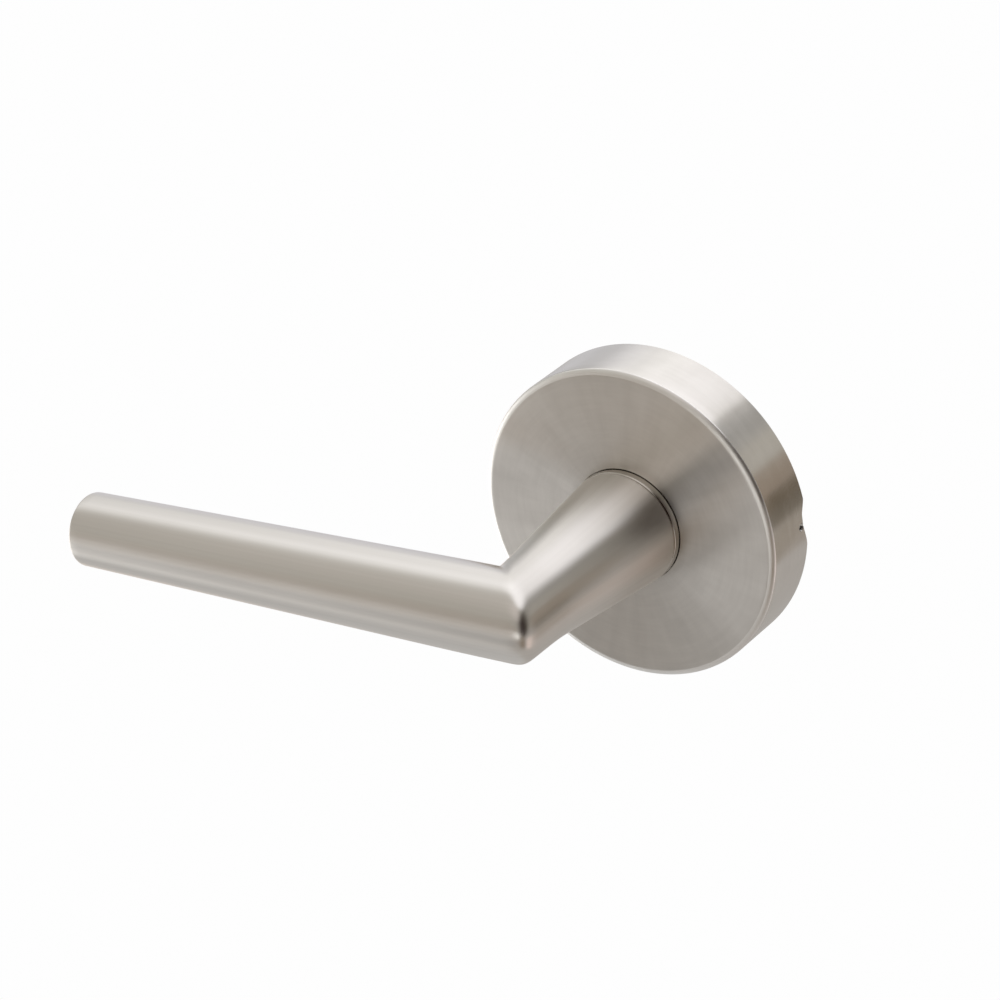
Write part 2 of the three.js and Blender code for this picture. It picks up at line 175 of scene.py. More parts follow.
def circle(count):
    turns = [2 * math.pi * i / count for i in range(count)]
    return [(math.cos(turn), math.sin(turn)) for turn in turns]


def arc(radius_at, depth_at, size, start, end, steps=8, height=None):
    """Points of an arc in a profile, from one angle to another, elliptical if it has a height of its own."""
    angles = [math.radians(start + (end - start) * i / steps) for i in range(steps + 1)]
    return [(radius_at + size * math.cos(a), depth_at + (height or size) * math.sin(a)) for a in angles]


def turned(name, profile, segments=ROUND, about=None):
    """A piece turned about the spin axis, from (radius, depth) points. One off the axis is a closed ring."""
    turn = 360 / segments
    rings = [[on_circle(radius, turn * j, depth) for j in range(segments)] for radius, depth in profile]
    made = skin(name, rings, loop=profile[0][0] > 0)
    if about is not None:
        made.data.transform(about)
    return made


def bar(radius, back, front, x=0, z=0, segments=SMALL_ROUND):
    """A plain round cutter along the spin direction."""
    profile = [(0, back), (radius, back), (radius, front), (0, front)]
    return turned("cutter", profile, segments, Matrix.Translation((x * MM, 0, z * MM)))


def block(size, centre, degrees=0):
    """A plain box cutter: sizes along X, depth and Z, and its centre, turned about the spin axis."""
    corners = [(sx, sy, sz) for sx in (-0.5, 0.5) for sy in (-0.5, 0.5) for sz in (-0.5, 0.5)]
    points = []
    for sx, sy, sz in corners:
        points.append((centre[0] + sx * size[0], -centre[1] - sy * size[1], centre[2] + sz * size[2]))
    faces = [(0, 1, 3, 2), (4, 6, 7, 5), (0, 4, 5, 1), (2, 3, 7, 6), (0, 2, 6, 4), (1, 5, 7, 3)]
    made = mesh_from("cutter", points, faces)
    made.data.transform(Matrix.Rotation(-math.radians(degrees), 4, "Y"))
    return made


def combine(made, others, operation):
    """Adds the others to a piece or cuts them out of it, and removes them."""
    for other in others:
        modifier = made.modifiers.new("combine", "BOOLEAN")
        modifier.operation = operation
        modifier.solver = "EXACT"
        modifier.object = other
    graph = bpy.context.evaluated_depsgraph_get()
    mesh = bpy.data.meshes.new_from_object(made.evaluated_get(graph))
    made.modifiers.clear()
    made.data = mesh
    for other in others:
        bpy.data.objects.remove(other)
    return made


def cut(made, *cutters):
    return combine(made, cutters, "DIFFERENCE")


def join(made, *others):
    return combine(made, others, "UNION")


def threaded(name, radius, core, pitch, head, tip, crest=0.12):
    """A screw's shank with a real helical thread, from depth head to depth tip, closed at both ends."""
    around, steps, closed = 36, 10, 0.001
    rings = [[on_circle(closed, 360 * j / around, head) for j in range(around)]]
    count = round(abs(head - tip) / pitch * steps)
    for i in range(count + 1):
        share = i / count
        fade = min(1, 6 * (1 - share), 12 * share + 0.2)
        ring = []
        for j in range(around):
            phase = (share * (head - tip) / pitch + j / around) % 1
            ridge = max(0, 1 - max(0, abs(2 * phase - 1) - crest) / (0.8 - crest))
            size = core + (radius - core) * ridge * fade
            ring.append(on_circle(size, 360 * j / around, head + (tip - head) * share))
        rings.append(ring)
    rings.append([on_circle(closed, 360 * j / around, tip) for j in range(around)])
    return skin(name, rings)


def across_neck():
    """Turns a piece made about the spin axis to point straight down from the neck, at the grub screw."""
    return Matrix.Translation((0, -GRUB_DEPTH * MM, 0)) @ Matrix.Rotation(math.radians(90), 4, "X")


def finish_piece(made, body, slot, material, *nodes):
    """Says what a new piece rides on, what it is made of and which CAD nodes it stands for."""
    made.data.materials.clear()
    made.data.materials.append(material)
    smooth(made)
    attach(made, body)
    if nodes:
        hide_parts(*nodes)
    return made


# ---------------------------------------------------------------- material helpers


def add(tree, kind, settings=None, **inputs):
    """A shader node with its settings and inputs. An input is a value or the socket that feeds it."""
    node = tree.nodes.new("ShaderNode" + kind)
    for key, value in (settings or {}).items():
        setattr(node, key, value)
    for key, value in inputs.items():
        socket = node.inputs[int(key[1:])] if key[0] == "_" else node.inputs[key.replace("_", " ")]
        if isinstance(value, bpy.types.NodeSocket):
            tree.links.new(value, socket)
        else:
            socket.default_value = value
    return node


def maths(tree, operation, *values):
    inputs = {f"_{i}": value for i, value in enumerate(values)}
    return add(tree, "Math", {"operation": operation}, **inputs).outputs[0]


def blended(tree, factor, low, high):
    """A colour between low and high."""
    node = add(tree, "Mix", {"data_type": "RGBA"}, _0=factor, _6=(*low, 1), _7=(*high, 1))
    return node.outputs[2]


def between(tree, value, low, high, from_low=0.3, from_high=0.7):
    """A noise value spread over a range."""
    node = add(tree, "MapRange", None, Value=value, _1=from_low, _2=from_high, _3=low, _4=high)
    return node.outputs[0]


def noise(tree, vector, scale, detail=3, roughness=0.6):
    node = add(tree, "TexNoise", None, Vector=vector, Scale=scale, Detail=detail, Roughness=roughness)
    return node.outputs["Factor"] if "Factor" in node.outputs else node.outputs["Fac"]


def new_material(name, metallic=1.0):
    material = bpy.data.materials.new(name)
    material.use_nodes = True
    tree = material.node_tree
    shader = tree.nodes["Principled BSDF"]
    shader.inputs["Metallic"].default_value = metallic
    return material, tree, shader


def scaled(tree, vector, x, y, z):
    return add(tree, "VectorMath", {"operation": "MULTIPLY"}, _0=vector, _1=(x, y, z)).outputs[0]


def object_space(tree):
    return add(tree, "TexCoord").outputs["Object"]


def rings_space(tree, across, along):
    """A vector that changes fast away from the spin axis and slowly round it, for circular brushing."""
    split = add(tree, "SeparateXYZ", None, Vector=object_space(tree))
    x, y, z = split.outputs
    square = maths(tree, "ADD", maths(tree, "MULTIPLY", x, x), maths(tree, "MULTIPLY", z, z))
    radius = maths(tree, "SQRT", square)
    cosine = maths(tree, "MULTIPLY", maths(tree, "DIVIDE", x, radius), along)
    sine = maths(tree, "MULTIPLY", maths(tree, "DIVIDE", z, radius), along)
    height = maths(tree, "MULTIPLY", maths(tree, "SUBTRACT", radius, y), across)
    return add(tree, "CombineXYZ", None, X=cosine, Y=sine, Z=height).outputs[0]


def lengthwise_space(tree, across, along):
    """A vector from the lever's own grain, fine round the bar and drawn out along it."""
    grain = add(tree, "Attribute", {"attribute_name": "grain"}).outputs["Vector"]
    return scaled(tree, grain, across, across, along)


def bump(tree, shader, height, strength, distance):
    node = add(tree, "Bump", None, Height=height, Strength=strength, Distance=distance)
    tree.links.new(node.outputs[0], shader.inputs["Normal"])


def worn_edges(tree, amount):
    """How far a point lies on a worn edge, from the mesh's own corners."""
    pointed = add(tree, "NewGeometry").outputs["Pointiness"]
    return between(tree, pointed, 0, amount, 0.52, 0.62)


def rubbed(tree, base, amount, bare):
    """The base colour, with bare metal where edges have worn."""
    node = add(tree, "Mix", {"data_type": "RGBA"}, _0=worn_edges(tree, amount), _6=base, _7=(*bare, 1))
    return node.outputs[2]


def satin_nickel(name, space, roughness, anisotropy, tangent_axis=None, contrast=1.0):
    """Brushed nickel. The space function lays the grain, and blotches add faint handling marks."""
    material, tree, shader = new_material(name)
    fine = noise(tree, space(tree, 900, 3), 1, 2, 0.6)
    broad = noise(tree, space(tree, 70, 7), 1, 2)
    blotch = noise(tree, object_space(tree), 55, 3)
    tone = maths(tree, "MULTIPLY_ADD", fine, 0.4, maths(tree, "MULTIPLY", broad, 0.6))
    low = tuple(c - 0.045 * contrast for c in NICKEL)
    high = tuple(c + 0.045 * contrast for c in NICKEL)
    colour = blended(tree, between(tree, tone, 0, 1, 0.36, 0.64), low, high)
    tree.links.new(colour, shader.inputs["Base Color"])
    spread = 0.09 * contrast
    rough = between(tree, tone, roughness * (1 - spread), roughness * (1 + spread), 0.36, 0.64)
    rough = maths(tree, "ADD", rough, between(tree, blotch, -0.012, 0.015))
    tree.links.new(rough, shader.inputs["Roughness"])
    shader.inputs["Anisotropic"].default_value = anisotropy
    if tangent_axis:
        tangent = add(tree, "Tangent", {"direction_type": "RADIAL", "axis": tangent_axis}).outputs[0]
        shader.inputs["Anisotropic Rotation"].default_value = 0.25
    else:
        tangent = add(tree, "Attribute", {"attribute_name": "run"}).outputs["Vector"]
    tree.links.new(tangent, shader.inputs["Tangent"])
    bump(tree, shader, fine, 0.06 * contrast, 0.00001)
    return material


def bright_nickel(name, roughness=0.12, tint=NICKEL):
    """Smooth nickel with faint turning lines and a haze of fingermarks."""
    material, tree, shader = new_material(name)
    lines = noise(tree, rings_space(tree, 2200, 6), 1, 3)
    haze = noise(tree, object_space(tree), 90, 4)
    low = tuple(c - 0.03 for c in tint)
    high = tuple(c + 0.02 for c in tint)
    tree.links.new(blended(tree, between(tree, haze, 0, 1), low, high), shader.inputs["Base Color"])
    turning = between(tree, lines, roughness * 0.85, roughness * 1.15)
    rough = maths(tree, "ADD", turning, between(tree, haze, -0.015, 0.02))
    tree.links.new(rough, shader.inputs["Roughness"])
    bump(tree, shader, lines, 0.08, 0.00001)
    return material


def plated_steel():
    """Zinc plate: cool grey with a faint yellow and blue bloom, and grey steel where edges have rubbed."""
    material, tree, shader = new_material("zinc_plate")
    bloom = noise(tree, object_space(tree), 130, 4, 0.65)
    grains = noise(tree, object_space(tree), 1400, 3, 0.7)
    base = blended(tree, between(tree, bloom, 0, 1), (0.57, 0.60, 0.64), (0.71, 0.69, 0.61))
    tree.links.new(rubbed(tree, base, 0.7, (0.78, 0.78, 0.77)), shader.inputs["Base Color"])
    rough = maths(tree, "ADD", between(tree, grains, 0.3, 0.38), between(tree, bloom, -0.01, 0.06))
    tree.links.new(rough, shader.inputs["Roughness"])
    bump(tree, shader, grains, 0.22, 0.00003)
    return material


def spring_steel():
    """Oil-tempered steel: dark, with drawn lines and a straw tint in places."""
    material, tree, shader = new_material("tempered_steel")
    drawn = noise(tree, scaled(tree, object_space(tree), 300, 900, 300), 1, 4)
    tint = noise(tree, object_space(tree), 160, 3)
    base = blended(tree, between(tree, tint, 0, 1), (0.34, 0.34, 0.36), (0.46, 0.42, 0.36))
    tree.links.new(rubbed(tree, base, 0.6, (0.6, 0.6, 0.6)), shader.inputs["Base Color"])
    tree.links.new(between(tree, drawn, 0.29, 0.42), shader.inputs["Roughness"])
    bump(tree, shader, drawn, 0.15, 0.00002)
    return material


def black_oxide():
    """Blackened steel of the grub screw, rubbed brighter on its edges."""
    material, tree, shader = new_material("black_oxide", 0.9)
    mottle = noise(tree, object_space(tree), 900, 4)
    base = blended(tree, between(tree, mottle, 0, 1), (0.030, 0.030, 0.033), (0.075, 0.07, 0.065))
    tree.links.new(rubbed(tree, base, 0.8, (0.35, 0.34, 0.33)), shader.inputs["Base Color"])
    tree.links.new(between(tree, mottle, 0.34, 0.55), shader.inputs["Roughness"])
    bump(tree, shader, mottle, 0.2, 0.00002)
    return material


def black_nylon():
    """Moulded nylon with a fine spark-eroded texture and slightly greyed wear."""
    material, tree, shader = new_material("nylon", 0)
    texture = noise(tree, object_space(tree), 2600, 4, 0.7)
    wear = noise(tree, object_space(tree), 200, 3)
    base = blended(tree, between(tree, wear, 0, 1), (0.011, 0.011, 0.012), (0.028, 0.027, 0.026))
    tree.links.new(base, shader.inputs["Base Color"])
    tree.links.new(between(tree, texture, 0.42, 0.6), shader.inputs["Roughness"])
    shader.inputs["Specular IOR Level"].default_value = 0.4
    bump(tree, shader, texture, 0.3, 0.00004)
    return material


# ---------------------------------------------------------------- the lever


def neck_radius(depth):
    """The cone of the neck, which eases into the round bar of the corner."""
    slope = (NECK_BASE_RADIUS - CORNER_RADIUS) / (NECK_TAPER_END - NECK_BACK)
    ease = 1.6
    return CORNER_RADIUS + slope * ease * math.log1p(math.exp((NECK_TAPER_END - depth) / ease))


def grip_radius(reach):
    """The grip's taper from the corner to the tip, eased where it begins."""
    slope = (CORNER_RADIUS - TIP_RADIUS) / (LEVER_REACH - TIP_EDGE - GRIP_STRAIGHT)
    ease = 2.5
    return CORNER_RADIUS - slope * ease * math.log1p(math.exp((reach - GRIP_STRAIGHT) / ease))


def on_neck(depth, angle):
    radius = neck_radius(depth)
    return Vector((radius * math.cos(angle), -depth, radius * math.sin(angle)))


def on_grip(reach, angle, radius=None):
    radius = grip_radius(reach) if radius is None else radius
    return Vector((-reach, -LEVER_DEPTH - radius * math.cos(angle), radius * math.sin(angle)))


def bezier(a, b, c, d, t):
    s = 1 - t
    return s**3 * a + 3 * s * s * t * b + 3 * s * t * t * c + t**3 * d


def lever_line(angle):
    """One line along the lever's surface: up the neck, round the bend and out along the grip to the tip.
    Returns its points and how far along the lever each lies."""
    neck_steps, bend_steps, grip_steps, edge_steps = 40, 24, 56, 6
    outer = (1 + math.cos(angle)) / 2
    bend = INNER_BEND + (OUTER_BEND - INNER_BEND) * outer**2
    corner = LEVER_DEPTH
    for _ in range(8):
        corner = LEVER_DEPTH + grip_radius(-neck_radius(corner) * math.cos(angle)) * math.cos(angle)
    reach = -neck_radius(corner) * math.cos(angle)
    round_edge = 0.15
    points = [on_circle(NECK_SKIRT, math.degrees(angle), NECK_BACK)]
    for radius, depth in arc(NECK_BASE_RADIUS - round_edge, NECK_BACK + round_edge, round_edge, -90, 0, 5):
        points.append(on_circle(radius, math.degrees(angle), depth))
    start, end = NECK_BACK + 0.5, corner - bend
    points += [on_neck(start + (end - start) * i / neck_steps, angle) for i in range(neck_steps + 1)]
    first, last = on_neck(end, angle), on_grip(reach + bend, angle)
    hold = BEND_HOLD * bend
    up = (first - on_neck(end - 0.1, angle)).normalized()
    out = (on_grip(reach + bend + 0.1, angle) - last).normalized()
    for i in range(1, bend_steps):
        points.append(bezier(first, first + hold * up, last - hold * out, last, i / bend_steps))
    start, end = reach + bend, LEVER_REACH - TIP_EDGE
    points += [on_grip(start + (end - start) * i / grip_steps, angle) for i in range(grip_steps + 1)]
    edge = grip_radius(end) - TIP_EDGE
    for i in range(1, edge_steps + 1):
        turn = math.radians(90 * i / edge_steps)
        points.append(on_grip(end + TIP_EDGE * math.sin(turn), angle, edge + TIP_EDGE * math.cos(turn)))
    cap_seat = LEVER_REACH - 3.5
    points.append(on_grip(LEVER_REACH, angle, TIP_RADIUS - LEVER_WALL))
    points.append(on_grip(cap_seat, angle, TIP_RADIUS - LEVER_WALL))
    points.append(on_grip(cap_seat, angle, 0))
    bore, step = HUB_RADIUS + HUB_PLAY, NECK_BACK + 0.75
    socket = [(0, NECK_SOCKET_END), (bore, NECK_SOCKET_END), (bore, step), (NECK_SKIRT, step)]
    head = [on_circle(radius, math.degrees(angle), depth) for radius, depth in socket]
    return [Vector(point) for point in head + points]


def lever_shell():
    """Neck and grip as the one polished bar they are once welded, with its grain stored on the mesh."""
    around = 192
    lines = [lever_line(2 * math.pi * j / around) for j in range(around)]
    count = len(lines[0])
    rings = [[tuple(line[i]) for line in lines] for i in range(count)]
    made = skin("lever_shell", rings)
    grub = bar(GRUB_HOLE, 5, 16, segments=48)
    grub.data.transform(across_neck())
    cut(made, grub)
    store_grain(made)
    return made


def store_grain(made):
    """Stores where each point lies on the bar, for the brushed grain: (cosine, sine, distance along) in
    metres, and the direction in which the bar runs there."""
    values, runs = [], []
    for vertex in made.data.vertices:
        x, depth, z = vertex.co.x / MM, -vertex.co.y / MM, vertex.co.z / MM
        past_mitre = depth - x - LEVER_DEPTH
        if past_mitre < 0:
            angle, along = math.atan2(z, x), depth
        else:
            angle, along = math.atan2(z, depth - LEVER_DEPTH), LEVER_DEPTH - x
        values += [CORNER_RADIUS * MM * math.cos(angle), CORNER_RADIUS * MM * math.sin(angle), along * MM]
        share = min(1, max(0, 0.5 + past_mitre / 5))
        runs += [-share, share - 1, 0]
    for name, numbers in (("grain", values), ("run", runs)):
        attribute = made.data.attributes.new(name, "FLOAT_VECTOR", "POINT")
        attribute.data.foreach_set("vector", numbers)


def along_grip():
    """Turns a piece made about the spin axis so that its depth runs out along the grip."""
    return Matrix.Translation((0, -LEVER_DEPTH * MM, 0)) @ Matrix.Rotation(math.radians(-90), 4, "Z")


def end_cap():
    radius = TIP_RADIUS - LEVER_WALL - 0.3
    face = LEVER_REACH
    profile = [(0, face - 2.4), (radius - 0.2, face - 2.4), (radius, face - 2.2)]
    profile += arc(radius - 0.35, face - 0.4, 0.35, 0, 90, 5)
    profile += [(radius - 1.2, face), (0, face)]
    return turned("lever_end_cap", profile, 160, along_grip())


def hub():
    """The sleeve inside the neck: a square bore for the spindle, a groove for the circlip and two flats."""
    edge, groove = 0.4, 7.7
    profile = [(0, HUB_BACK), (HUB_RADIUS - edge, HUB_BACK), (HUB_RADIUS, HUB_BACK + edge)]
    profile += [(HUB_RADIUS, -2.6), (groove, -2.55), (groove, -1.25), (HUB_RADIUS, -1.2)]
    profile += [(HUB_RADIUS, HUB_FRONT - edge), (HUB_RADIUS - edge, HUB_FRONT), (0, HUB_FRONT)]
    made = turned("hub_sleeve", profile, 144)
    socket = block((8.6, 60, 8.6), (0, 15, 0))
    flats = [block((20, 10, 4), (0, -0.5, side * 9.4)) for side in (1, -1)]
    grub = bar(GRUB_HOLE, 2, 12)
    grub.data.transform(across_neck())
    return cut(made, socket, *flats, grub)


def grub_screw():
    made = threaded("grub_screw_m5", 2.5, 2.08, 0.8, 10.8, 4.3)
    hexagon = turned("cutter", [(0, 8.3), (1.45, 8.3), (1.45, 12), (0, 12)], 6)
    cut(made, hexagon)
    made.data.transform(across_neck())
    return made


def circlip():
    """An external retaining ring with a plier hole in each end."""
    outer, inner, opening = 10.4, 8.0, 20
    steps = 120
    angles = [-90 + opening + (360 - 2 * opening) * i / steps for i in range(steps + 1)]
    section = [(inner, -2.3), (inner + 0.1, -2.4), (outer - 0.15, -2.4), (outer, -2.25)]
    section += [(outer, -1.55), (outer - 0.15, -1.4), (inner + 0.1, -1.4), (inner, -1.5)]
    rings = [[on_circle(radius, angle, depth) for radius, depth in section] for angle in angles]
    made = skin("retaining_ring", rings)
    work = bmesh.new()
    work.from_mesh(made.data)
    bmesh.ops.holes_fill(work, edges=[edge for edge in work.edges if edge.is_boundary])
    bmesh.ops.recalc_face_normals(work, faces=work.faces)
    work.to_mesh(made.data)
    work.free()
    middle = (outer + inner) / 2
    ends = [on_circle(middle, -90 + side * (opening + 7), 0) for side in (1, -1)]
    return cut(made, *[bar(0.6, -4, 0, x, z, 32) for x, _, z in ends])


# ---------------------------------------------------------------- the fixed rose


def about_spin(degrees):
    return Matrix.Rotation(-math.radians(degrees), 4, "Y")


def notch():
    """A cutter for the notch, with flared ends: its outline is a raised cosine, longer below than above."""
    shares = [-1 + i / 24 for i in range(49)]
    reaches = [share * (NOTCH_BELOW if share < 0 else NOTCH_ABOVE) for share in shares]
    outline = [(z, NOTCH_DEPTH * (1 + math.cos(math.pi * share)) / 2) for z, share in zip(reaches, shares)]
    outline += [(NOTCH_ABOVE, -1), (-NOTCH_BELOW, -1)]
    rings = [[(radius, -depth, z) for z, depth in outline] for radius in (ROSE_RADIUS - 3, ROSE_RADIUS + 3)]
    middles = [[(radius, 0, 0)] * len(outline) for radius in (ROSE_RADIUS - 3, ROSE_RADIUS + 3)]
    made = skin("cutter", [middles[0], *rings, middles[1]])
    made.data.transform(about_spin(NOTCH_ANGLE))
    return made


def pry_hole():
    """A cutter for the small round hole through the rim, in front of the notch."""
    made = bar(PRY_HOLE, ROSE_RADIUS - 3, ROSE_RADIUS + 3, segments=32)
    made.data.transform(Matrix.Rotation(math.radians(90), 4, "Z"))
    made.data.transform(Matrix.Translation((0, -PRY_HOLE_DEPTH * MM, 0)))
    made.data.transform(about_spin(PRY_HOLE_ANGLE))
    return made


def rose_shell():
    """The thin cup of the cover, with its rolled front edge, the notch and the hole."""
    face, inside = ROSE_DEPTH, ROSE_RADIUS - ROSE_WALL
    profile = [(ROSE_RADIUS - 0.15, 0), (ROSE_RADIUS, 0.15)]
    profile += [(ROSE_RADIUS, depth) for depth in (2, 6, 10)]
    profile += arc(ROSE_ROLL_START, face - ROSE_EDGE, ROSE_ROLL, 0, 90, 18, ROSE_EDGE)
    profile += [(radius, face) for radius in (26, 22, 18, 14)]
    profile += arc(ROSE_HOLE + 0.1, face - 0.1, 0.1, 90, 180, 4)
    profile += [(ROSE_HOLE, face - ROSE_WALL)]
    profile += arc(inside - ROSE_EDGE, face - ROSE_WALL - ROSE_EDGE, ROSE_EDGE, 90, 0, 5)
    profile += [(inside, 0.15), (inside + 0.15, 0)]
    made = turned("rose_shell", profile)
    return cut(made, notch(), pry_hole())


def face_and_edge(made, face, edge):
    """Gives the flat front of the rose its own, circular finish, and the edge round it a rougher one whose
    lighter tint is a painted highlight.
    """
    made.data.materials.append(face)
    made.data.materials.append(edge)
    for polygon in made.data.polygons:
        if polygon.normal.y < -0.985:
            polygon.material_index = 1
        elif polygon.normal.y < -0.3 and polygon.center.length > ROSE_ROLL_START * MM:
            polygon.material_index = 2


def collar():
    """The ring round the neck's end: a flange behind the cover and a rounded bead in front of it."""
    bead, edge, bore = 0.45, 0.25, COLLAR_BORE
    profile = [(FLANGE_RADIUS, COLLAR_BACK), (FLANGE_RADIUS, FLANGE_FRONT)]
    profile += [(COLLAR_RADIUS - 0.12, FLANGE_FRONT), (COLLAR_RADIUS - 0.08, ROSE_DEPTH)]
    profile += [(COLLAR_RADIUS, ROSE_DEPTH + 0.7)]
    profile += arc(COLLAR_RADIUS - bead, COLLAR_FRONT - bead, bead, 0, 90, 12)
    profile += [(bore + edge, COLLAR_FRONT), (bore, COLLAR_FRONT - edge), (bore, COLLAR_BACK)]
    return turned("collar_bead", profile)


def bush():
    """The nylon bearing between collar and hub, with a lip that the neck's skirt covers."""
    bore, body, lip, edge = HUB_RADIUS + HUB_PLAY, COLLAR_BORE - 0.3, BUSH_LIP_RADIUS, 0.15
    profile = [(body, COLLAR_BACK), (body, BUSH_LIP_BACK)]
    profile += arc(lip - edge, BUSH_LIP_BACK + edge, edge, -90, 0, 3)
    profile += [(lip, BUSH_FRONT - 0.05), (lip - 0.05, BUSH_FRONT), (bore, BUSH_FRONT), (bore, COLLAR_BACK)]
    return turned("bush_ring", profile, 192)


def pin_angles():
    """Where the two stop pins and the anchor pin stand, in degrees round the spin axis."""
    reach = 14 + math.degrees(1.2 / PIN_CIRCLE)
    return (90 - reach, 135 + reach, 300)


def mounting_plate():
    """The plate behind the cover: a pressed groove, bosses for the screws, and holes for pins and rivets."""
    front, groove, ridge, bore = PLATE_THICKNESS, 0.45, 0.35, HUB_RADIUS + HUB_PLAY
    profile = [(bore + 0.2, 0), (22.5, 0), (23, groove), (26, groove), (26.5, 0), (PLATE_RADIUS - 0.15, 0)]
    profile += [(PLATE_RADIUS, 0.15), (PLATE_RADIUS, front - 0.3), (PLATE_RADIUS - 0.3, front)]
    profile += [(26.2, front), (25.8, front + ridge), (23.2, front + ridge), (22.8, front)]
    profile += [(bore + 0.2, front), (bore, front - 0.2), (bore, 0.2)]
    made = turned("backplate", profile, 192)
    sides = (-SCREW_OFFSET, SCREW_OFFSET)
    boss = [(0, -7), (3.8, -7), (4.2, -6.6), (4.2, 1), (0, 1)]
    join(made, *[turned("boss", boss, 64, Matrix.Translation((x * MM, 0, 0))) for x in sides])
    holes = [bar(2.3, -8, 3, x=x, segments=64) for x in sides]
    holes += [bar(1.7, -1, 3, z=z, segments=48) for z in (-RIVET_OFFSET, RIVET_OFFSET)]
    for angle in pin_angles():
        x, _, z = on_circle(PIN_CIRCLE, angle, 0)
        holes.append(bar(1.1, -1, 3, x, z, 40))
    return cut(made, *holes)


def fixing_screw(side):
    """A pan-head screw with a cross recess. Side -1 is the one left of the spindle, and 1 the right one."""
    seat = PLATE_THICKNESS + 0.2
    top = seat + 2.5
    made = threaded(f"screw_m4_{'left' if side < 0 else 'right'}", 2, 1.62, 0.7, seat + 0.4, SCREW_TIP)
    head = [(0, seat), (3.7, seat), (3.8, seat + 0.12), (3.8, seat + 0.8)]
    head += arc(2.6, seat + 0.8, 1.2, 0, 60, 6) + [(2.2, top - 0.15), (0, top)]
    join(made, turned("head", head, 72))
    cut(made, block((3.8, 2.6, 0.9), (0, top, 0)), block((0.9, 2.6, 3.8), (0, top, 0)))
    made.data.transform(Matrix.Translation((side * SCREW_OFFSET * MM, 0, 0)))
    return made


def wave_washer():
    """A thin washer with three waves, between the circlip and the plate."""
    inner, outer, middle, half, wave = 9.1, 11.2, -0.75, 0.17, 0.22
    section = [(outer, -half + 0.05), (outer, half - 0.05), (outer - 0.06, half), (inner + 0.06, half)]
    section += [(inner, half - 0.05), (inner, -half + 0.05), (inner + 0.06, -half), (outer - 0.06, -half)]
    rings = []
    for i in range(180):
        angle = 2 * i
        lift = middle - wave * math.sin(math.radians(3 * angle))
        rings.append([on_circle(radius, angle, lift + depth) for radius, depth in section])
    return skin("wavy_washer", rings, loop=True)


def return_spring():
    """Round wire wound between the cam's post and the anchor pin. The real one twists as the lever turns;
    this mesh is fixed.
    """
    wire, coil, back, front = 0.6, 10, SPRING_BACK, SPRING_FRONT
    first, sweep, steps, around = 105, 300 - 15 - 720 - 105, 420, 14

    def centre(t):
        from_end = min(t, 1 - t) * abs(sweep) / 8
        eased = min(1, from_end) ** 2 * (3 - 2 * min(1, from_end))
        return Vector(on_circle(coil + 2.2 * (1 - eased), first + t * sweep, back + (front - back) * t))

    rings = []
    for i in range(steps + 1):
        t = i / steps
        here, ahead = centre(t), (centre(min(1, t + 1e-4)) - centre(max(0, t - 1e-4))).normalized()
        side = ahead.cross(Vector((0, 1, 0))).normalized()
        up = side.cross(ahead)
        size = wire * (0.75 if i in (0, steps) else 1)
        turns = [2 * math.pi * j / around for j in range(around)]
        ring = [here + size * (math.cos(a) * side + math.sin(a) * up) for a in turns]
        if i == 0:
            rings.append([here] * around)
        rings.append(ring)
        if i == steps:
            rings.append([here] * around)
    return skin("wound_spring", [[tuple(point) for point in ring] for ring in rings])


# ---------------------------------------------------------------- assembly


def dress_node(name, material, edge=0.12):
    """Keeps a CAD node, rounds its edges with a modifier and gives it its finish."""
    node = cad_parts[name]
    node.data.materials.clear()
    node.data.materials.append(material)
    smooth(node)
    weld = node.modifiers.new("weld", "WELD")
    weld.merge_threshold = 1e-6
    bevel = node.modifiers.new("edges", "BEVEL")
    bevel.width = edge * MM
    bevel.segments = 2
    bevel.limit_method = "ANGLE"
    bevel.angle_limit = math.radians(40)
    bevel.harden_normals = True


